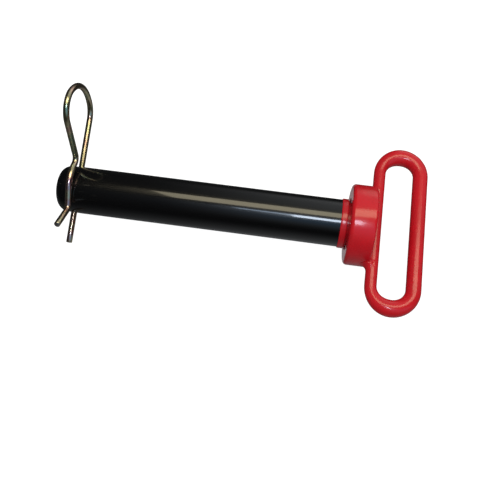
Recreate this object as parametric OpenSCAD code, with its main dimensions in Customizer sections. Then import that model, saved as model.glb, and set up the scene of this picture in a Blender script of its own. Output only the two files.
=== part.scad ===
// Hitch pin lock: a swivel-handled drawbar pin held by a sprung wire clip.
// The shank lies along X with its nose at -X. The origin is on the shank's axis,
// in the face of the hub that seats on the drawbar. The handle loop lies in XY.

/* [Shank] */
// Diameter of the shank, a 1-1/4 in drawbar pin
pin_d = 31.75; // [28:0.05:38.1]
// Length from the hub's seat face to the tip of the nose
grip_len = 196.8; // [140:0.1:260]
// Rounding of the nose
nose_r = 6.5; // [3:0.5:7]
// Centre of the clip's hole, from the tip of the nose
hole_inset = 11.4; // [10:0.1:20]
// Length of the slight lead taper behind the nose
lead_len = 10; // [8:0.5:20]
// How much smaller the taper leaves the radius at the nose
lead_drop = 0.3; // [0.2:0.05:1]

/* [Swivel] */
// Diameter of the neck that the hub turns on
neck_d = 20; // [16:0.5:22]
// Radial running clearance between the neck and the hub's bore
neck_clearance = 0.08; // [0.05:0.01:0.1]
// Free play at each end of the hub's web
end_play = 0.1; // [0.05:0.05:0.2]
// Height of the collar's flange above the shank
collar_proud = 0.7; // [0.2:0.1:1.5]
// Width of the collar's flange
flange_w = 4.4; // [2:0.1:8]
// Width of the groove between the flange and the hub
groove_w = 1.1; // [0.6:0.1:3]
// Depth of the groove below the shank's surface
groove_depth = 1.4; // [0.5:0.1:3]
// Rounding of the flange's edges
flange_r = 0.8; // [0.2:0.1:1]
// How far the upset head overhangs the neck
head_overhang = 2.7; // [2:0.1:3.5]
// Gap between the upset head and the leg welded over it
head_gap = 1.3; // [0.8:0.1:2]
// How far the washer overhangs the head
washer_overhang = 1.6; // [1:0.1:2]
// Thickness of the washer under the head
washer_t = 1.8; // [1:0.1:2.5]
// Clearance of the washer's bore round the neck
washer_clearance = 0.15; // [0.1:0.05:0.4]

/* [Hub] */
// Outside diameter of the hub
hub_d = 54.2; // [46:0.1:64]
// Width of the hub along the shank
hub_w = 16.5; // [15.5:0.1:24]
// Thickness of the web that carries the load
web_t = 7; // [4.5:0.1:7.5]
// Gap between the collar's flange and the inner edge of the seat face
recess_clearance = 0.8; // [0.4:0.1:2]
// Depth of the recess inside the seat face
recess_depth = 0.8; // [0.5:0.1:1.5]
// Gap between the washer and the counterbore that holds it
counterbore_clearance = 0.9; // [0.5:0.1:1.5]
// Rounding of the rim on the nose side
hub_rim_r = 2; // [1:0.5:5]
// Rounding of the rim on the handle side
hub_back_r = 1.2; // [0.5:0.1:2]

/* [Handle loop] */
// Overall length of the loop, across the shank
loop_len = 120; // [100:1:150]
// Distance between the centre lines of the loop's two legs
leg_pitch = 27.6; // [24:0.1:40]
// Bar diameter round the loop's two ends
end_bar_d = 10.2; // [9:0.1:13]
// Bar diameter of the outer leg
outer_leg_d = 10; // [8:0.1:13]
// Bar diameter of the leg that is welded across the hub
hub_leg_d = 8; // [6:0.1:9]
// Length over which a leg tapers to the bar of the ends
taper_len = 9; // [4:0.5:12]
// Height of the welded leg's centre line above the hub's end face
leg_rise = 2.1; // [1.8:0.1:2.6]
// Radius of the weld bead where the leg crosses the hub's rim
bead_r = 3.6; // [2:0.1:5]

/* [Clip] */
// Diameter of the clip's wire
wire_d = 4; // [3:0.1:4.8]
// Radial clearance of the straight leg in its hole
hole_clearance = 0.4; // [0.2:0.1:1]
// Tilt of the clip out of the handle's plane, in degrees
clip_tilt = 13.8; // [-45:0.1:45]
// Length of the straight leg that stands out under the shank
leg_tail = 21; // [12:0.5:40]
// Gap between the bow and the shank
bow_gap = 0.25; // [0.2:0.05:0.6]
// Length of the flared tip of the sprung leg
flare_len = 17; // [8:0.5:25]
// Bend radius of the corner next to the straight leg
near_corner_r = 12; // [8:0.5:16]
// Bend radius of the crown
crown_r = 28.5; // [22:0.5:34]
// Bend radius of the corner next to the sprung leg
far_corner_r = 13; // [9:0.5:16]
// Bend radius at the two pinches beside the bow
pinch_r = 4; // [3.2:0.1:6]
// Bend radius of the bow over the shank
bow_bend_r = 17.8; // [16:0.1:22]
// Straight length of the bow before it touches the shank
bow_lead = 3.3; // [2:0.1:6]
// Straight length of the bow after it touches the shank
bow_tail = 6.7; // [4:0.1:9]

/* [Hidden] */
$fn = 72;

pin_r = pin_d / 2;
neck_r = neck_d / 2;
hub_r = hub_d / 2;
wire_r = wire_d / 2;
hole_r = wire_r + hole_clearance;
swell = 0.05;
join_len = 0.6;
head_round_r = 1.2;
// How far a cutter runs past the face it leaves by
overrun = 1;

// Stations along X, from the nose to the handle
nose_x = -grip_len;
clip_x = nose_x + hole_inset;
shoulder_x = -groove_w - flange_w;
groove_x = -groove_w;
collar_end_x = recess_depth - end_play;
washer_x = web_t + end_play;
head_x = washer_x + washer_t;
hub_leg_x = hub_w + leg_rise;
outer_leg_x = hub_leg_x + leg_pitch;
head_h = hub_leg_x - hub_leg_d / 2 - head_gap - head_x;
loop_mid_x = hub_leg_x + leg_pitch / 2;

lead_r = pin_r - lead_drop;
flange_outer_r = pin_r + collar_proud;
groove_r = pin_r - groove_depth;
head_r = neck_r + head_overhang;
washer_r = head_r + washer_overhang;
recess_r = flange_outer_r + recess_clearance;
counterbore_r = washer_r + counterbore_clearance;
end_r = leg_pitch / 2;
straight_half = loop_len / 2 - end_bar_d / 2 - end_r;

// Headings of the clip's wire in its own plane, in degrees: it leaves the straight leg at 0
near_heading = 56;
crown_heading = 90;
far_heading = 138;
return_heading = 238;
bow_in_heading = 140;
bow_out_heading = 202;
flare_heading = 132;

// The shank's radius under the clip, which lies on the lead taper
seat_r = min(pin_r, lead_r + lead_drop * (hole_inset - nose_r) / lead_len);
touch_r = seat_r + wire_r + bow_gap;

// A wire is a list of pieces: [0, length] is straight, [radius, degrees] is a bend.
// A state is [along, across, heading].
function after(state, piece) = piece[0] == 0
    ? [state[0] + piece[1] * cos(state[2]), state[1] + piece[1] * sin(state[2]), state[2]]
    : let (side = sign(piece[1]), turned = state[2] + piece[1])
      [state[0] + side * piece[0] * (sin(turned) - sin(state[2])),
       state[1] - side * piece[0] * (cos(turned) - cos(state[2])),
       turned];
function last_state(state, pieces, i = 0) =
    i == len(pieces) ? state : last_state(after(state, pieces[i]), pieces, i + 1);

// The bow's straight stretch lies just off the shank, and the rest is traced back from there
bow_end = [touch_r * sin(bow_out_heading) - bow_lead * cos(bow_out_heading),
           -touch_r * cos(bow_out_heading) - bow_lead * sin(bow_out_heading),
           bow_out_heading + 180];
upper_pinch = last_state(bow_end,
    [[bow_bend_r, bow_in_heading - bow_out_heading], [pinch_r, return_heading - bow_in_heading]]);
corners = last_state([0, 0, 0],
    [[near_corner_r, near_heading], [crown_r, far_heading - near_heading],
     [far_corner_r, return_heading - far_heading]]);
// The return leg's length and the straight leg's end are what close the loop on the pinch
return_len = (upper_pinch[1] - corners[1]) / sin(return_heading);
leg_end = upper_pinch[0] - return_len * cos(return_heading) - corners[0];

leg_start = -pin_r - leg_tail;
straight_leg_pieces = [
    [0, leg_end - leg_start],
    [near_corner_r, near_heading],
    [crown_r, crown_heading - near_heading]];
spring_leg_pieces = [
    [crown_r, far_heading - crown_heading],
    [far_corner_r, return_heading - far_heading],
    [0, return_len],
    [pinch_r, bow_in_heading - return_heading],
    [bow_bend_r, bow_out_heading - bow_in_heading],
    [0, bow_lead + bow_tail],
    [pinch_r, flare_heading - bow_out_heading],
    [0, flare_len]];
crown_state = last_state([leg_start, 0, 0], straight_leg_pieces);

black = [0.06, 0.06, 0.07];
red = [0.78, 0.12, 0.17];
yellow_zinc = [0.72, 0.62, 0.34];
bare_steel = [0.62, 0.63, 0.65];

// A solid turned about the shank's axis, from a profile of [radius, distance towards +X]
module turned(x) {
    translate([x, 0, 0])
        rotate([0, 90, 0])
            rotate_extrude()
                children();
}

// A rod along X between two stations
module rod_x(from_x, to_x, r) {
    translate([from_x, 0, 0])
        rotate([0, 90, 0])
            cylinder(h = to_x - from_x, r = r);
}

// Half a disc's section, with its rim rounded at the low and the high end
module rounded_profile(r, width, low_r, high_r) {
    square([r - low_r, low_r]);
    translate([0, low_r])
        square([r, width - low_r - high_r]);
    translate([0, width - high_r])
        square([r - high_r, high_r]);
    translate([r - low_r, low_r])
        corner_round(low_r, -90);
    translate([r - high_r, width - high_r])
        corner_round(high_r, 0);
}

// A quarter disc that fills a rounded corner, turned to face outwards
module corner_round(r, turn) {
    rotate(turn)
        intersection() {
            circle(r);
            square(r);
        }
}

// One piece of wire in the clip's plane, which is local XY here
module wire_piece(state, piece) {
    if (piece[0] == 0)
        translate([state[0], state[1], 0])
            rotate([0, 0, state[2]])
                rotate([0, 90, 0])
                    cylinder(h = piece[1], r = wire_r);
    else
        translate([state[0] - sign(piece[1]) * piece[0] * sin(state[2]),
                   state[1] + sign(piece[1]) * piece[0] * cos(state[2]), 0])
            rotate([0, 0, piece[1] > 0 ? state[2] - 90 : state[2] + 90 + piece[1]])
                rotate_extrude(angle = abs(piece[1]))
                    translate([piece[0], 0])
                        circle(wire_r);
}

// A slight swell where two pieces of wire meet, which makes them one solid
module wire_join(state) {
    translate([state[0], state[1], 0])
        rotate([0, 0, state[2]])
            rotate([0, 90, 0])
                cylinder(h = join_len, r = wire_r + swell, center = true);
}

module wire(state, pieces, i = 0) {
    next = after(state, pieces[i]);
    wire_piece(state, pieces[i]);
    if (i + 1 < len(pieces)) {
        wire_join(next);
        wire(next, pieces, i + 1);
    }
}

// The clip's plane stands across the shank, turned by the clip's tilt
module in_clip_plane() {
    translate([clip_x, 0, 0])
        rotate([clip_tilt, 0, 0])
            rotate([90, 0, 90])
                children();
}

// Half the shank's section up to its shoulder: the rounded nose, the lead taper and the body
module shank_profile(length) {
    square([lead_r - nose_r, nose_r]);
    translate([lead_r - nose_r, nose_r])
        corner_round(nose_r, -90);
    polygon([[0, nose_r], [lead_r, nose_r], [pin_r, nose_r + lead_len], [pin_r, length],
             [0, length]]);
}

// Half the upset head's section, rounded at its free end
module head_profile(r, height) {
    square([r, height - head_round_r]);
    square([r - head_round_r, height]);
    translate([r - head_round_r, height - head_round_r])
        corner_round(head_round_r, 0);
}

// The shank with its rounded nose, the neck behind its shoulder and the upset head
module shank() {
    color(black)
        difference() {
            union() {
                turned(nose_x)
                    shank_profile(shoulder_x - nose_x);
                rod_x(shoulder_x, head_x, neck_r);
                turned(head_x)
                    head_profile(head_r, head_h);
            }
            in_clip_plane()
                rotate([0, 90, 0])
                    cylinder(h = pin_d + 2 * overrun, r = hole_r, center = true);
        }
}

// The collar that sits on the neck against the shoulder: a flange and a narrower boss
module thrust_collar() {
    color(red)
        difference() {
            union() {
                turned(shoulder_x)
                    rounded_profile(flange_outer_r, flange_w, flange_r, flange_r);
                rod_x(groove_x, collar_end_x, groove_r);
            }
            rod_x(shoulder_x - overrun, collar_end_x + overrun, neck_r);
        }
}

// The washer between the hub's web and the upset head
module thrust_washer() {
    color(bare_steel)
        difference() {
            rod_x(washer_x, head_x, washer_r);
            rod_x(washer_x - overrun, head_x + overrun, neck_r + washer_clearance);
        }
}

module hub_blank() {
    turned(0)
        rounded_profile(hub_r, hub_w, hub_rim_r, hub_back_r);
}

// The welded leg's bar, as long as the part of the loop that crosses the hub
module hub_leg_bar() {
    translate([hub_leg_x, 0, 0])
        rotate([90, 0, 0])
            cylinder(h = 2 * (straight_half - taper_len), r = hub_leg_d / 2, center = true);
}

// The cup that turns on the neck: a bored web with a recess in its seat face for the collar's
// boss, a counterbore for the head and a seat for the loop's leg
module hub() {
    color(red)
        difference() {
            hub_blank();
            rod_x(-overrun, recess_depth, recess_r);
            rod_x(-overrun, web_t + overrun, neck_r + neck_clearance);
            rod_x(web_t, hub_w + overrun, counterbore_r);
            hub_leg_bar();
        }
}

// A tapered end of a leg, from the leg's bar up to the bar of the loop's ends
module leg_taper(x, leg_d, side) {
    translate([x, side * straight_half, 0])
        rotate([side * 90, 0, 0])
            cylinder(h = taper_len, d1 = end_bar_d, d2 = leg_d);
}

// Half a ring of bar at one end of the loop
module loop_end(side) {
    translate([loop_mid_x, side * straight_half, 0])
        rotate([0, 0, side > 0 ? 0 : 180])
            rotate_extrude(angle = 180)
                translate([end_r, 0])
                    circle(end_bar_d / 2);
}

// The bar loop that the hand pulls on
module handle_loop() {
    color(red) {
        hub_leg_bar();
        translate([outer_leg_x, 0, 0])
            rotate([90, 0, 0])
                cylinder(h = 2 * (straight_half - taper_len), r = outer_leg_d / 2, center = true);
        for (side = [-1, 1]) {
            leg_taper(hub_leg_x, hub_leg_d, side);
            leg_taper(outer_leg_x, outer_leg_d, side);
            loop_end(side);
        }
    }
}

// The weld beads where the loop's leg crosses the hub's rim, one at each side
module weld_beads() {
    color(red)
        for (side = [0, 1])
            mirror([0, side, 0])
                difference() {
                    translate([hub_leg_x - hub_leg_d / 2, hub_r, 0])
                        rotate([0, 0, 45])
                            rotate([0, 90, 0])
                                rotate([0, 0, -90])
                                    sphere(bead_r);
                    hub_blank();
                    hub_leg_bar();
                }
}

// The clip's straight leg, through the shank, and the near half of its loop
module clip_leg() {
    color(yellow_zinc)
        in_clip_plane()
            wire([leg_start, 0, 0], straight_leg_pieces);
}

// The clip's sprung leg: the far half of its loop, the bow over the shank and the flare
module clip_spring_leg() {
    color(yellow_zinc)
        in_clip_plane()
            wire(crown_state, spring_leg_pieces);
}

shank();
thrust_collar();
thrust_washer();
hub();
handle_loop();
weld_beads();
clip_leg();
clip_spring_leg();
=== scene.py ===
"""Hitch pin lock: the looks of a swivel-handled drawbar pin and its sprung wire clip.

Sizes are in millimetres in the classes and in metres in the scene. The shank lies along X with
its nose at -X, and the handle loop lies in XY.
"""

import logging
import math
from dataclasses import dataclass, field
from enum import Enum
from typing import Callable, Iterator, Sequence

import bpy
from mathutils import Matrix, Vector


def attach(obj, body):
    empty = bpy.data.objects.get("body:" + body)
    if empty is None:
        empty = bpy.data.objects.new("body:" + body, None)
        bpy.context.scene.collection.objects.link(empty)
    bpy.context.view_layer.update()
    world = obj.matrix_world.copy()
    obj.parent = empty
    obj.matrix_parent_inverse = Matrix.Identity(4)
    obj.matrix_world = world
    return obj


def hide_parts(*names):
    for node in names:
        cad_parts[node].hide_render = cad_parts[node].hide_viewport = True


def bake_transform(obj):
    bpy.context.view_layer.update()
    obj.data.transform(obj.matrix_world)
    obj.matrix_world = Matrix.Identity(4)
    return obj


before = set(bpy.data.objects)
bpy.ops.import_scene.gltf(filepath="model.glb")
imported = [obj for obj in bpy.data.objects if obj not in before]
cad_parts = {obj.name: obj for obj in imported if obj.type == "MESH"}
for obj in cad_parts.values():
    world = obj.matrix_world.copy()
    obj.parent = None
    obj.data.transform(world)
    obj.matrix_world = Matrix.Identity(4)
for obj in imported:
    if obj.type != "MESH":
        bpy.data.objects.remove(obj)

log = logging.getLogger("hitch_pin")

MM = 0.001

Colour = tuple[float, float, float]
Station = tuple[float, float]


class Body(Enum):
    """The moving bodies that the pieces ride on."""

    PIN = "pin"
    HANDLE = "handle"
    CLIP = "clip"
    CLIP_ARM = "clip_arm"


class Slot(Enum):
    """The material slots that the finishes stand for."""

    BLACK = "black_enamel"
    RED = "red_enamel"
    ZINC = "yellow_zinc"
    STEEL = "bare_steel"


# ---------------------------------------------------------------- finishes


class Signal:
    """A node's output that takes part in Python arithmetic."""

    def __init__(self, recipe: "Recipe", socket: bpy.types.NodeSocket) -> None:
        """Wraps a socket.

        Args:
            recipe: The recipe that the socket's node belongs to.
            socket: The output socket.
        """
        self.recipe = recipe
        self.socket = socket

    def _maths(self, operation: str, first: object, second: object) -> "Signal":
        """Adds one Math node.

        Args:
            operation: The Math node's operation.
            first: A signal or a number.
            second: A signal or a number.

        Returns:
            The node's value.
        """
        return self.recipe.node("ShaderNodeMath", {"operation": operation}, {0: first, 1: second})

    def __add__(self, other: object) -> "Signal":
        """Returns self + other."""
        return self._maths("ADD", self, other)

    def __radd__(self, other: object) -> "Signal":
        """Returns other + self."""
        return self._maths("ADD", other, self)

    def __sub__(self, other: object) -> "Signal":
        """Returns self - other."""
        return self._maths("SUBTRACT", self, other)

    def __rsub__(self, other: object) -> "Signal":
        """Returns other - self."""
        return self._maths("SUBTRACT", other, self)

    def __mul__(self, other: object) -> "Signal":
        """Returns self * other."""
        return self._maths("MULTIPLY", self, other)

    def __rmul__(self, other: object) -> "Signal":
        """Returns other * self."""
        return self._maths("MULTIPLY", other, self)

    def at_least(self, floor: float) -> "Signal":
        """Returns self, or floor where self is less."""
        return self._maths("MAXIMUM", self, floor)

    def band(self, low: float, high: float) -> "Signal":
        """Rises smoothly from 0 at low to 1 at high, or falls where low is the larger.

        Args:
            low: The value that gives 0.
            high: The value that gives 1.

        Returns:
            The share, from 0 to 1.
        """
        return self.recipe.node(
            "ShaderNodeMapRange",
            {"interpolation_type": "SMOOTHSTEP"},
            {"Value": self, "From Min": low, "From Max": high},
        )


class Recipe:
    """A material that is being wired."""

    def __init__(self, owner: bpy.types.Material | bpy.types.World) -> None:
        """Empties the owner's nodes.

        Args:
            owner: The material or the world that is wired.
        """
        owner.use_nodes = True
        self.material = owner
        self.tree = owner.node_tree
        self.tree.nodes.clear()

    @classmethod
    def named(cls, name: str) -> "Recipe":
        """Returns the recipe of a new material of that name."""
        return cls(bpy.data.materials.new(name))

    def node(
        self, kind: str, settings: dict | None = None, inputs: dict | None = None, output: int | str = 0
    ) -> Signal:
        """Adds a node.

        Args:
            kind: The node's type.
            settings: Its properties, set first. "stops" fills a colour ramp.
            inputs: A value or a signal for each input, by name or number.
            output: The output to return, by name or number.

        Returns:
            The chosen output.
        """
        made = self.tree.nodes.new(kind)
        for key, value in (settings or {}).items():
            if key == "stops":
                self._fill_ramp(made.color_ramp, value)
            else:
                setattr(made, key, value)
        for key, value in (inputs or {}).items():
            if isinstance(value, Signal):
                self.tree.links.new(value.socket, made.inputs[key])
            else:
                made.inputs[key].default_value = value
        return Signal(self, made.outputs[output])

    @staticmethod
    def _fill_ramp(ramp: bpy.types.ColorRamp, stops: Sequence[tuple[float, Colour]]) -> None:
        """Gives a colour ramp its stops.

        Args:
            ramp: The ramp.
            stops: Pairs of place and colour.
        """
        while len(ramp.elements) < len(stops):
            ramp.elements.new(1.0)
        for element, (place, colour) in zip(ramp.elements, stops):
            element.position = place
            element.color = (*colour, 1.0)

    def place(self) -> Signal:
        """Returns the point on the piece, in metres."""
        return self.node("ShaderNodeTexCoord", output="Object")

    def noise(self, at: Signal, scale: float, detail: float = 2.0, roughness: float = 0.5) -> Signal:
        """Adds a noise.

        Args:
            at: Where it is read.
            scale: Waves for each metre.
            detail: Octaves.
            roughness: How much each octave keeps.

        Returns:
            The noise, around one half.
        """
        return self.node(
            "ShaderNodeTexNoise",
            inputs={"Vector": at, "Scale": scale, "Detail": detail, "Roughness": roughness},
        )

    def stretched(self, at: Signal, stretch: Colour) -> Signal:
        """Scales the place along each axis.

        Args:
            at: The place.
            stretch: The scale along X, Y and Z.

        Returns:
            The scaled place.
        """
        return self.node("ShaderNodeMapping", inputs={"Vector": at, "Scale": stretch})

    def mixed(self, share: Signal | float, first: Signal | Colour, second: Signal | Colour) -> Signal:
        """Mixes two colours.

        Args:
            share: How much of the second.
            first: The first colour.
            second: The second colour.

        Returns:
            The mixed colour.
        """
        colours = {
            key: value if isinstance(value, Signal) else (*value, 1.0)
            for key, value in ((6, first), (7, second))
        }
        return self.node(
            "ShaderNodeMix", {"data_type": "RGBA"}, {0: share, **colours}, output=2
        )

    def bump(self, height: Signal, depth: float, strength: float = 1.0) -> Signal:
        """Turns a height into a normal.

        Args:
            height: The height, in waves of about 1.
            depth: The depth of a wave, in metres.
            strength: The share that shows.

        Returns:
            The normal.
        """
        return self.node(
            "ShaderNodeBump", inputs={"Height": height, "Distance": depth, "Strength": strength}
        )

    def finish(self, **sockets: object) -> bpy.types.Material:
        """Adds the surface shader and its output.

        Args:
            sockets: Its inputs, with _ for each space.

        Returns:
            The finished material.
        """
        inputs = {key.replace("_", " "): value for key, value in sockets.items()}
        surface = self.node("ShaderNodeBsdfPrincipled", inputs=inputs)
        self.end("ShaderNodeOutputMaterial", surface)
        return self.material

    def end(self, kind: str, surface: Signal) -> None:
        """Adds the output.

        Args:
            kind: The output node's type.
            surface: The shader that it shows.
        """
        made = self.tree.nodes.new(kind)
        self.tree.links.new(surface.socket, made.inputs["Surface"])


@dataclass(frozen=True)
class BlackEnamel:
    """Gloss black enamel, scuffed at the nose."""

    colour: Colour = (0.0015, 0.0015, 0.0018)
    scuff: Colour = (0.06, 0.055, 0.045)
    roughness: float = 0.22
    nose_x: float = -0.1968

    def mix(self) -> bpy.types.Material:
        """Returns the material."""
        recipe = Recipe.named("gloss_black_enamel")
        at = recipe.place()
        along = recipe.node("ShaderNodeSeparateXYZ", inputs={0: at}, output="X")
        streaks = recipe.noise(recipe.stretched(at, (60.0, 420.0, 420.0)), 1.0, 3.0)
        patches = recipe.noise(at, 90.0, 3.0)
        near_nose = along.band(self.nose_x + 0.045, self.nose_x + 0.002)
        worn = streaks.band(0.6, 0.72) * patches.band(0.5, 0.65) * near_nose
        cloud = recipe.noise(at, 35.0, 2.0)
        return recipe.finish(
            Base_Color=recipe.mixed(worn * 0.7, self.colour, self.scuff),
            Roughness=self.roughness + cloud * 0.05 + worn * 0.25,
            Specular_IOR_Level=0.3,
            Coat_Weight=0.75,
            Coat_Roughness=0.05,
            Normal=recipe.bump(recipe.noise(at, 260.0, 2.0), 0.00002, 0.5),
        )


@dataclass(frozen=True)
class RedEnamel:
    """Thick gloss red enamel with a slight orange peel."""

    colour: Colour = (0.5, 0.007, 0.014)
    deep: Colour = (0.42, 0.004, 0.009)
    roughness: float = 0.24

    def mix(self) -> bpy.types.Material:
        """Returns the material."""
        recipe = Recipe.named("gloss_red_enamel")
        at = recipe.place()
        pooled = recipe.noise(at, 70.0, 3.0).band(0.42, 0.68)
        peel = recipe.noise(at, 420.0, 2.0)
        sag = recipe.noise(at, 110.0, 1.0)
        return recipe.finish(
            Base_Color=recipe.mixed(pooled * 0.5, self.colour, self.deep),
            Roughness=self.roughness + pooled * 0.06,
            Specular_IOR_Level=0.3,
            Coat_Weight=0.4,
            Coat_Roughness=0.12,
            Normal=recipe.bump(peel * 0.35 + sag, 0.00006, 0.6),
        )


@dataclass(frozen=True)
class YellowZinc:
    """Bright yellow-passivated zinc on drawn wire, with its clouds of green and pink."""

    roughness: float = 0.2

    def mix(self) -> bpy.types.Material:
        """Returns the material."""
        recipe = Recipe.named("yellow_zinc_plate")
        at = recipe.place()
        cloud = recipe.noise(at, 85.0, 2.0, 0.6)
        tint = recipe.node(
            "ShaderNodeValToRGB",
            {
                "stops": [
                    (0.30, (0.38, 0.48, 0.32)),
                    (0.42, (0.58, 0.54, 0.33)),
                    (0.50, (0.72, 0.62, 0.42)),
                    (0.58, (0.70, 0.48, 0.36)),
                    (0.70, (0.60, 0.38, 0.42)),
                ]
            },
            {0: cloud},
        )
        grain = recipe.noise(at, 700.0, 3.0)
        dull = recipe.noise(at, 210.0, 2.0).band(0.5, 0.75)
        return recipe.finish(
            Base_Color=recipe.mixed(dull * 0.25, tint, (0.42, 0.36, 0.22)),
            Metallic=1.0,
            Roughness=self.roughness + dull * 0.08,
            Normal=recipe.bump(grain, 0.000004, 0.15),
        )


@dataclass(frozen=True)
class BareSteel:
    """Turned or cut steel with fine tool marks."""

    colour: Colour = (0.52, 0.51, 0.49)

    def mix(self) -> bpy.types.Material:
        """Returns the material."""
        recipe = Recipe.named("cut_steel")
        at = recipe.place()
        marks = recipe.noise(recipe.stretched(at, (4000.0, 300.0, 300.0)), 1.0, 2.0)
        stain = recipe.noise(at, 180.0, 3.0).band(0.5, 0.8)
        return recipe.finish(
            Base_Color=recipe.mixed(stain * 0.5, self.colour, (0.3, 0.27, 0.22)),
            Metallic=1.0,
            Roughness=0.28 + marks * 0.14,
            Normal=recipe.bump(marks, 0.00002, 0.6),
        )


# ---------------------------------------------------------------- modelling


class Workpiece:
    """One mesh on the bench: a row of rings, each extruded from the last."""

    def __init__(
        self, name: str, centre: Sequence[float], radius: float, heading: float = 0.0,
        sides: int = 96, solid: bool = True,
    ) -> None:
        """Lays down the first ring and opens it for editing.

        Args:
            name: The piece's name.
            centre: The ring's centre, in mm.
            radius: The ring's radius, in mm.
            heading: The way it faces in XY, in degrees from +X.
            sides: How many sides the ring has.
            solid: Whether its ends are closed.
        """
        self.centre = Vector((*centre, 0.0)[:3]) * MM
        self.radius = radius * MM
        self.heading = heading
        bpy.ops.object.select_all(action="DESELECT")
        bpy.ops.mesh.primitive_circle_add(
            vertices=sides,
            radius=self.radius,
            fill_type="NGON" if solid else "NOTHING",
            location=self.centre,
            rotation=(0.0, math.pi / 2, math.radians(heading)),
        )
        self.obj = bpy.context.active_object
        self.obj.name = name
        self.obj.data.name = name
        bpy.ops.object.transform_apply(location=True, rotation=True, scale=True)
        bpy.ops.object.mode_set(mode="EDIT")
        bpy.ops.mesh.select_all(action="SELECT")

    def ring(self, centre: Sequence[float], radius: float, heading: float | None = None) -> None:
        """Extrudes the open end to a new ring.

        Args:
            centre: Its centre, in mm.
            radius: Its radius, in mm.
            heading: The way it faces in XY, or None to keep the last.
        """
        centre = Vector((*centre, 0.0)[:3]) * MM
        heading = self.heading if heading is None else heading
        bpy.ops.mesh.extrude_region_move()
        ratio = radius * MM / self.radius
        if abs(ratio - 1) > 1e-7:
            bpy.ops.transform.resize(value=(ratio,) * 3, center_override=self.centre)
        if abs(heading - self.heading) > 1e-6:
            bpy.ops.transform.rotate(
                value=math.radians(self.heading - heading),
                orient_axis="Z",
                center_override=self.centre,
            )
        bpy.ops.transform.translate(value=centre - self.centre)
        self.centre, self.radius, self.heading = centre, radius * MM, heading

    def turned(self, stations: Sequence[Station]) -> None:
        """Extrudes rings along the shank's axis.

        Args:
            stations: Pairs of place along X and radius, in mm.
        """
        for x, radius in stations:
            self.ring((x, 0.0), radius)

    def close(self, angle: float = 30.0) -> bpy.types.Object:
        """Merges what meets, turns the faces outwards, and leaves the bench.

        Args:
            angle: The sharpest edge, in degrees, that shades as smooth.

        Returns:
            The piece.
        """
        bpy.ops.mesh.select_all(action="SELECT")
        bpy.ops.mesh.remove_doubles(threshold=1e-6)
        bpy.ops.mesh.normals_make_consistent(inside=False)
        bpy.ops.object.mode_set(mode="OBJECT")
        self.only(self.obj)
        bpy.ops.object.shade_smooth_by_angle(angle=math.radians(angle))
        return self.obj

    @staticmethod
    def only(obj: bpy.types.Object) -> None:
        """Leaves one object selected and active."""
        bpy.ops.object.select_all(action="DESELECT")
        obj.select_set(True)
        bpy.context.view_layer.objects.active = obj

    @staticmethod
    def cut(obj: bpy.types.Object, cutter: bpy.types.Object) -> None:
        """Takes one mesh out of another and throws the cutter away.

        Args:
            obj: The piece to cut.
            cutter: The mesh that is taken out.
        """
        Workpiece.only(obj)
        modifier = obj.modifiers.new("cut", "BOOLEAN")
        modifier.object = cutter
        modifier.operation = "DIFFERENCE"
        modifier.solver = "EXACT"
        bpy.ops.object.modifier_apply(modifier=modifier.name)
        bpy.data.objects.remove(cutter)
        bpy.ops.object.shade_smooth_by_angle(angle=math.radians(30))


def corner(x: float, r: float, radius: float, start: float, steps: int = 8) -> list[Station]:
    """Rounds a turned corner with a quarter circle.

    Args:
        x: The quarter circle's centre along X, in mm.
        r: The centre's distance from the axis, in mm.
        radius: Its radius, in mm.
        start: Where it starts, in degrees: 180 faces the nose, 90 faces out.
        steps: How many steps it takes.

    Returns:
        The stations, in order.
    """
    angles = [math.radians(start - 90 * i / steps) for i in range(steps + 1)]
    return [(x + radius * math.cos(a), r + radius * math.sin(a)) for a in angles]


def dress(
    piece: bpy.types.Object, finish: bpy.types.Material, slot: Slot, body: Body | None, *nodes: str
) -> None:
    """Gives a piece its finish, its body and the nodes it stands for.

    Args:
        piece: The piece.
        finish: Its material.
        slot: The material slot that the finish stands for; not used.
        body: The body that it rides on, or None where it bends between two.
        nodes: The frame's nodes that it replaces.
    """
    piece.data.materials.clear()
    piece.data.materials.append(finish)
    if body is not None:
        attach(piece, body.value)
    if nodes:
        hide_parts(*nodes)
    log.info("%s: %d faces, %s", piece.name, len(piece.data.polygons), finish.name)


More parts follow.
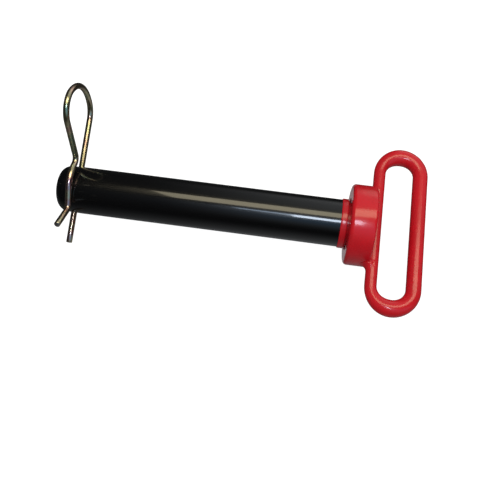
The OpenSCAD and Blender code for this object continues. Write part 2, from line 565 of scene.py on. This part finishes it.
@dataclass
class Shank:
    """The round pin, with its neck and upset head."""

    radius: float = 15.875
    lead_radius: float = 15.575
    nose: float = -196.8
    nose_round: float = 6.5
    lead: float = 10.0
    shoulder: float = -5.5
    neck_radius: float = 10.0
    head_start: float = 8.9
    head_radius: float = 12.7
    head_end: float = 13.3
    head_round: float = 1.2
    hole_x: float = -185.4
    hole_radius: float = 2.4
    tilt: float = 13.8
    bare_ring: float = 2.0

    def stations(self) -> list[Station]:
        """Returns the profile after the nose's flat face."""
        centre_x = self.nose + self.nose_round
        centre_r = self.lead_radius - self.nose_round
        lead_end = centre_x + self.lead
        length = self.shoulder - lead_end
        body = [(lead_end + length * i / 9, self.radius) for i in range(10)]
        head = corner(self.head_end - self.head_round, self.head_radius - self.head_round,
                      self.head_round, 90.0, 5)
        return [
            *corner(centre_x, centre_r, self.nose_round, 180.0, 12)[1:],
            *body,
            (self.shoulder, self.neck_radius),
            (self.head_start, self.neck_radius),
            (self.head_start, self.head_radius),
            *head,
        ]

    def drill(self) -> bpy.types.Object:
        """Returns the cutter for the clip's hole, countersunk at both ends."""
        reach = self.radius + 2.0
        rim = self.radius - 0.75
        bit = Workpiece("hole_cutter", (-reach, 0.0), self.hole_radius + 2.75, sides=48)
        bit.ring((-rim, 0.0), self.hole_radius)
        bit.ring((rim, 0.0), self.hole_radius)
        bit.ring((reach, 0.0), self.hole_radius + 2.75)
        cutter = bit.close()
        cutter.matrix_world = (
            Matrix.Translation((self.hole_x * MM, 0.0, 0.0))
            @ Matrix.Rotation(math.radians(self.tilt), 4, "X")
            @ Matrix.Rotation(math.pi / 2, 4, "Z")
        )
        Workpiece.only(cutter)
        bpy.ops.object.transform_apply(location=True, rotation=True, scale=True)
        return cutter

    def build(self, finish: bpy.types.Material) -> None:
        """Builds the shank.

        Args:
            finish: Its enamel.
        """
        work = Workpiece("shank", (self.nose, 0.0), self.lead_radius - self.nose_round, sides=192)
        work.turned(self.stations())
        shank = work.close()
        Workpiece.cut(shank, self.drill())
        dress(shank, finish, Slot.BLACK, Body.PIN, "shank")


@dataclass
class Swivel:
    """What holds the hub on the neck: the collar at its nose side and the washer behind it."""

    neck_radius: float = 10.0
    flange_start: float = -5.5
    flange_end: float = -1.1
    flange_radius: float = 16.575
    flange_round: float = 0.8
    boss_end: float = 0.7
    boss_radius: float = 14.475
    washer_start: float = 7.1
    washer_end: float = 8.9
    washer_radius: float = 14.3
    washer_bore: float = 10.15
    washer_break: float = 0.3

    def build_collar(self, finish: bpy.types.Material) -> None:
        """Builds the collar.

        Args:
            finish: Its enamel.
        """
        work = Workpiece("thrust_collar", (self.flange_start, 0.0), self.neck_radius,
                         sides=160, solid=False)
        top = self.flange_radius - self.flange_round
        work.turned(corner(self.flange_start + self.flange_round, top, self.flange_round, 180.0, 6))
        work.turned(corner(self.flange_end - self.flange_round, top, self.flange_round, 90.0, 6))
        work.turned([
            (self.flange_end, self.boss_radius),
            (self.boss_end, self.boss_radius),
            (self.boss_end, self.neck_radius),
            (self.flange_start, self.neck_radius),
        ])
        dress(work.close(), finish, Slot.RED, Body.PIN, "thrust_collar")

    def build_washer(self, finish: bpy.types.Material) -> None:
        """Builds the washer.

        Args:
            finish: Its steel.
        """
        outer, edge = self.washer_radius, self.washer_break
        work = Workpiece("thrust_washer", (self.washer_start, 0.0), self.washer_bore,
                         sides=96, solid=False)
        work.turned([
            (self.washer_start, outer - edge),
            (self.washer_start + edge, outer),
            (self.washer_end - edge, outer),
            (self.washer_end, outer - edge),
            (self.washer_end, self.washer_bore),
            (self.washer_start, self.washer_bore),
        ])
        dress(work.close(), finish, Slot.STEEL, Body.PIN, "thrust_washer")


@dataclass
class Handle:
    """The hub that turns on the neck, with the bar loop welded across it."""

    hub_radius: float = 27.1
    hub_width: float = 16.5
    rim_round: float = 2.4
    back_round: float = 1.8
    bore: float = 10.08
    recess_radius: float = 17.375
    recess_depth: float = 0.8
    web: float = 7.0
    counterbore: float = 15.2
    mouth_break: float = 0.5
    leg_x: float = 18.6
    leg_radius: float = 4.0
    outer_x: float = 46.25
    outer_radius: float = 5.05
    end_radius: float = 5.65
    loop_top: float = 60.0
    bend_steps: int = 40
    fillets: dict[str, tuple[int, float]] = field(
        default_factory=lambda: {"weld_bead_upper": (1, 1.6), "weld_bead_lower": (-1, 4.6)}
    )

    @property
    def bend_radius(self) -> float:
        """Returns the radius of the centre line round each end of the loop."""
        return (self.outer_x - self.leg_x) / 2

    @property
    def bend_y(self) -> float:
        """Returns how far from the shank each end's bend is centred."""
        return self.loop_top - self.end_radius - self.bend_radius

    def build_hub(self, finish: bpy.types.Material) -> None:
        """Builds the hub.

        Args:
            finish: Its enamel.
        """
        top = self.hub_radius - self.rim_round
        back = self.hub_radius - self.back_round
        work = Workpiece("hub", (self.recess_depth, 0.0), self.bore, sides=192, solid=False)
        work.turned([(self.recess_depth, self.recess_radius), (0.4, self.recess_radius),
                     (0.0, self.recess_radius + 0.4)])
        work.turned(corner(self.rim_round, top, self.rim_round, 180.0, 10))
        work.turned(corner(self.hub_width - self.back_round, back, self.back_round, 90.0, 6))
        work.turned([
            (self.hub_width, self.counterbore + self.mouth_break),
            (self.hub_width - self.mouth_break, self.counterbore),
            (self.web, self.counterbore),
            (self.web, self.bore),
            (self.recess_depth, self.bore),
        ])
        dress(work.close(), finish, Slot.RED, Body.HANDLE, "hub")

    def bar_radius(self, turn: float) -> float:
        """Gives the bar's radius round an end.

        Args:
            turn: The share of the way from the hub's leg, at 0, to the outer leg, at 1.

        Returns:
            The radius, in mm.
        """
        far, full = (self.leg_radius, turn * 2) if turn < 0.5 else (self.outer_radius, 2 - turn * 2)
        share = full * full * (3 - 2 * full)
        return far + (self.end_radius - far) * share

    def end_rings(self, side: int) -> Iterator[tuple[tuple[float, float], float, float]]:
        """Goes round one end of the loop, clockwise seen from above.

        Args:
            side: 1 for the end at +Y, -1 for the end at -Y.

        Yields:
            The centre, the radius and the heading of each ring.
        """
        middle = (self.leg_x + self.outer_x) / 2
        first = 180.0 if side > 0 else 0.0
        for i in range(self.bend_steps + 1):
            share = i / self.bend_steps
            angle = math.radians(first - 180.0 * share)
            centre = (middle + self.bend_radius * math.cos(angle),
                      side * self.bend_y + self.bend_radius * math.sin(angle))
            yield (centre, self.bar_radius(share if side > 0 else 1 - share),
                   math.degrees(angle) - 90.0)

    def build_loop(self, finish: bpy.types.Material) -> None:
        """Builds the bar loop.

        Args:
            finish: Its enamel.
        """
        work = Workpiece("handle_loop", (self.leg_x, 0.0), self.leg_radius, 90.0, 48, solid=False)
        for share in (0.4, 0.8):
            work.ring((self.leg_x, self.bend_y * share), self.leg_radius)
        for ring in self.end_rings(1):
            work.ring(*ring)
        for y in (self.bend_y * 0.5, 0.0, -self.bend_y * 0.5):
            work.ring((self.outer_x, y), self.outer_radius)
        for ring in self.end_rings(-1):
            work.ring(*ring)
        for share in (-0.8, -0.4, 0.0):
            work.ring((self.leg_x, self.bend_y * share), self.leg_radius)
        dress(work.close(50.0), finish, Slot.RED, Body.HANDLE, "handle_loop")

    def build_bead(self, name: str, side: int, reach: float, finish: bpy.types.Material) -> None:
        """Builds the weld bead that fills the corner between the hub's rim and its leg.

        Args:
            name: The bead's name.
            side: 1 for the bead at +Y, -1 for the bead at -Y.
            reach: How far it reaches along the leg, in mm.
            finish: Its enamel.
        """
        grown = 0.02
        rings = []
        for i in range(11):
            t = reach * i / 10
            rings.append((self.hub_radius + reach - t, reach - math.sqrt(reach**2 - t**2)))
        rings += [(self.hub_radius - depth, reach * share)
                  for depth, share in ((0.7, 0.8), (1.8, 0.3), (3.0, 0.0))]
        spots = [((self.leg_x - 0.75 * f, side * y), self.leg_radius + grown + 0.25 * f)
                 for y, f in rings]
        work = Workpiece(name, *spots[0], heading=-90.0 * side, sides=64)
        for centre, radius in spots[1:]:
            work.ring(centre, radius)
        dress(work.close(60.0), finish, Slot.RED, Body.HANDLE, "weld_beads")

    def build(self, finish: bpy.types.Material) -> None:
        """Builds the hub, the loop and the two beads.

        Args:
            finish: Their enamel.
        """
        self.build_hub(finish)
        self.build_loop(finish)
        for name, (side, reach) in self.fillets.items():
            self.build_bead(name, side, reach, finish)


@dataclass
class WireClip:
    """The sprung clip, one wire from the straight leg's end round to the flare."""

    wire_radius: float = 2.0
    x: float = -185.4
    tilt: float = 13.8
    leg_start: float = -36.875
    leg_end: float = 49.516
    near_corner: tuple[float, float] = (12.0, 56.0)
    crown: tuple[float, float] = (28.5, 82.0)
    far_corner: tuple[float, float] = (13.0, 100.0)
    return_length: float = 27.898
    upper_pinch: tuple[float, float] = (4.0, -98.0)
    bow: tuple[float, float] = (17.8, 62.0)
    bow_straight: float = 10.0
    lower_pinch: tuple[float, float] = (4.0, -70.0)
    flare: float = 17.0
    end_break: float = 0.35
    blend_from: float = 8.0
    blend_to: float = 14.5
    blend_lean: float = 0.15

    def rings(self) -> Iterator[tuple[tuple[float, float], float]]:
        """Walks along the wire in its own plane.

        Yields:
            The centre and the heading of each ring after the first.
        """
        s, d, heading = self.leg_start, 0.0, 0.0
        straight: Callable[[float, int], list] = lambda length, steps: [("go", length / steps)] * steps
        bend: Callable[[tuple, float], list] = lambda b, step: [
            ("turn", b[0], b[1] / max(1, round(abs(b[1]) / step)))
        ] * max(1, round(abs(b[1]) / step))
        moves = [
            *straight(self.leg_end - self.leg_start, 12),
            *bend(self.near_corner, 4.0),
            *bend(self.crown, 3.0),
            *bend(self.far_corner, 4.0),
            *straight(self.return_length, 4),
            *bend(self.upper_pinch, 7.0),
            *bend(self.bow, 4.0),
            *straight(self.bow_straight, 3),
            *bend(self.lower_pinch, 7.0),
            *straight(self.flare, 4),
        ]
        for move in moves:
            before = math.radians(heading)
            if move[0] == "go":
                s += move[1] * math.cos(before)
                d += move[1] * math.sin(before)
            else:
                _, radius, turn = move
                side = math.copysign(1.0, turn)
                heading += turn
                after = math.radians(heading)
                s += side * radius * (math.sin(after) - math.sin(before))
                d -= side * radius * (math.cos(after) - math.cos(before))
            yield (s, d), heading

    def plane(self) -> Matrix:
        """Returns the turn and move from the wire's own plane to its place on the pin."""
        upright = Matrix(((0, 0, 1, 0), (1, 0, 0, 0), (0, 1, 0, 0), (0, 0, 0, 1)))
        return (Matrix.Translation((self.x * MM, 0.0, 0.0))
                @ Matrix.Rotation(math.radians(self.tilt), 4, "X") @ upright)

    def build(self, plate: bpy.types.Material, cut_face: bpy.types.Material) -> None:
        """Builds the clip.

        Args:
            plate: The wire's finish.
            cut_face: The finish of its two cut ends.
        """
        r, edge = self.wire_radius, self.end_break
        work = Workpiece("wire_clip", (self.leg_start, 0.0), r - edge, 0.0, 32)
        work.ring((self.leg_start + edge, 0.0), r)
        last = None
        for centre, heading in self.rings():
            if last is not None:
                work.ring(last[0], r, last[1])
            last = (centre, heading)
        (s, d), heading = last
        turn = math.radians(heading)
        work.ring((s - edge * math.cos(turn), d - edge * math.sin(turn)), r, heading)
        work.ring((s, d), r - edge)
        clip = work.close(50.0)
        clip.matrix_world = self.plane()
        Workpiece.only(clip)
        bpy.ops.object.transform_apply(location=True, rotation=True, scale=True)
        self.seat(clip, plate, cut_face)

    def seat(
        self, clip: bpy.types.Object, plate: bpy.types.Material, cut_face: bpy.types.Material
    ) -> None:
        """Dresses the clip and gives its two cut ends their own finish.

        Args:
            clip: The finished wire.
            plate: The wire's finish.
            cut_face: The finish of its two cut ends.
        """
        dress(clip, plate, Slot.ZINC, None, "clip_leg", "clip_spring_leg")
        clip.data.materials.append(cut_face)
        for polygon in clip.data.polygons:
            if len(polygon.vertices) > 4:
                polygon.material_index = 1
        place = self.plane()
        lean = Vector((-self.blend_lean, 1.0, 0.0)).normalized()
        scale = MM / math.hypot(1.0, self.blend_lean)
        start, end = (place @ (lean * reach * scale) for reach in (self.blend_from, self.blend_to))
        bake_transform(clip)
        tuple(start)
        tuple(end)


# ---------------------------------------------------------------- the studio


@dataclass(frozen=True)
class Card:
    """A soft lamp or reflector that faces a point."""

    name: str
    place: Colour
    size: tuple[float, float]
    colour: Colour
    radiance: float
    aim: Colour = (0.0, 0.0, 0.0)
    spin: float = 0.0

    def hang(self) -> None:
        """Hangs it in the studio."""
        light = bpy.data.lights.new(self.name, "AREA")
        light.shape = "RECTANGLE"
        light.size, light.size_y = self.size
        light.color = self.colour
        light.energy = self.radiance * math.pi * self.size[0] * self.size[1]
        lamp = bpy.data.objects.new(self.name, light)
        bpy.context.scene.collection.objects.link(lamp)
        lamp.location = self.place
        facing = (Vector(self.place) - Vector(self.aim)).to_track_quat("Z", "Y").to_matrix()
        lamp.rotation_euler = (facing @ Matrix.Rotation(math.radians(self.spin), 3, "Z")).to_euler()
        lamp.visible_camera = False


@dataclass
class Studio:
    """The camera, the floor and the light."""

    camera_place: Colour = (-0.035756, -0.169992, 0.396605)
    camera_turn: Colour = (20.0757, 0.7819, 8.2477)
    lens: float = 46.0
    floor_z: float = -0.0272
    floor_size: float = 6.0
    floor_lift: float = 0.95
    ambient: tuple[float, float, float] = (0.48, 0.06, 0.24)
    back_wall: float = 0.5
    front_floor: float = 0.22
    paper: float = 0.42
    glow: float = 0.6
    glow_colour: Colour = (0.3, 0.6, 1.0)
    room_colour: Colour = (0.93, 0.97, 1.0)
    cards: tuple[Card, ...] = (
        Card("ceiling_card", (0.24, 0.25, 1.0), (1.17, 0.39), (1.0, 0.9, 0.64), 4.2,
             (0.24, 0.25, 0.0), 9.0),
        Card("cool_lamp", (0.045, -0.28, 1.0), (0.17, 0.18), (0.74, 0.85, 1.0), 22.0,
             (0.045, -0.28, 0.0)),
        Card("cool_tail", (-0.1, -0.24, 1.0), (0.14, 0.08), (0.6, 0.78, 1.0), 6.0,
             (-0.1, -0.24, 0.0)),
        Card("side_card", (0.35, 1.0, 0.1), (0.5, 0.5), (0.95, 1.0, 0.85), 0.45, (0.35, 0.0, 0.1)),
    )

    def set_camera(self) -> None:
        """Sets the camera."""
        data = bpy.data.cameras.new("camera")
        data.lens = self.lens
        data.sensor_width = 36.0
        camera = bpy.data.objects.new("camera", data)
        bpy.context.scene.collection.objects.link(camera)
        camera.location = self.camera_place
        camera.rotation_euler = [math.radians(a) for a in self.camera_turn]
        bpy.context.scene.camera = camera

    def lay_floor(self) -> None:
        """Lays a plain pale floor under the pin."""
        bpy.ops.object.select_all(action="DESELECT")
        bpy.ops.mesh.primitive_plane_add(size=self.floor_size, location=(0.0, 0.0, self.floor_z))
        floor = bpy.context.active_object
        floor.name = "floor"
        bpy.ops.object.transform_apply(location=True, rotation=True, scale=True)
        recipe = Recipe.named("pale_floor")
        material = recipe.finish(
            Base_Color=(0.25, 0.25, 0.25, 1.0), Roughness=0.9, Specular_IOR_Level=0.1,
            Emission_Color=(1.0, 1.0, 1.0, 1.0), Emission_Strength=self.floor_lift,
        )
        floor.data.materials.append(material)
        floor.visible_glossy = False
        floor.visible_diffuse = False

    def light(self) -> None:
        """Lights the pin softly from all round, with a dim room for reflections."""
        world = bpy.data.worlds.new("studio")
        bpy.context.scene.world = world
        sky = Recipe(world)
        way = sky.node("ShaderNodeTexCoord", output="Generated")
        x, y, z = (sky.node("ShaderNodeSeparateXYZ", inputs={0: way}, output=axis) for axis in "XYZ")
        fill = self.ambient[0] + self.ambient[1] * y + self.ambient[2] * z
        behind = y.band(0.1, 0.75) * z.band(-0.25, 0.2) * x.band(-0.25, 0.12) * self.back_wall
        below = z.band(0.15, -0.7) * y.band(0.5, -0.3) * self.front_floor
        glow = y.band(-0.2, -0.34) * y.band(-0.98, -0.5) * z.band(0.0, 0.4) * x.band(-0.22, 0.08)
        paper = z.band(-0.6, -0.85) * y.band(0.1, 0.3) * x.band(-0.26, -0.16) * x.band(0.06, -0.04)
        room = (behind + below * (x.band(-0.42, 0.12) * 0.7 + 0.3) + glow * self.glow
                + paper * self.paper + 0.02)
        soft = sky.node("ShaderNodeBackground", inputs={"Color": (0.96, 0.98, 1.0, 1.0),
                                                        "Strength": fill})
        tint = sky.mixed(glow, self.room_colour, self.glow_colour)
        dim = sky.node("ShaderNodeBackground", inputs={"Color": tint, "Strength": room})
        glossy = sky.node("ShaderNodeLightPath", output="Is Glossy Ray")
        sky.end("ShaderNodeOutputWorld", sky.node("ShaderNodeMixShader", inputs={0: glossy, 1: soft, 2: dim}))
        for card in self.cards:
            card.hang()
        bpy.context.scene.view_settings.view_transform = "Standard"


def main() -> None:
    """Builds the pin piece by piece."""
    logging.basicConfig(level=logging.INFO, format="%(name)s: %(message)s")
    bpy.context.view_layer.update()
    studio = Studio()
    studio.set_camera()
    studio.lay_floor()
    studio.light()
    black = BlackEnamel().mix()
    red = RedEnamel().mix()
    zinc = YellowZinc().mix()
    steel = BareSteel().mix()
    Shank().build(black)
    swivel = Swivel()
    swivel.build_collar(red)
    swivel.build_washer(steel)
    Handle().build(red)
    WireClip().build(zinc, steel)


if __name__ == "__main__":
    main()
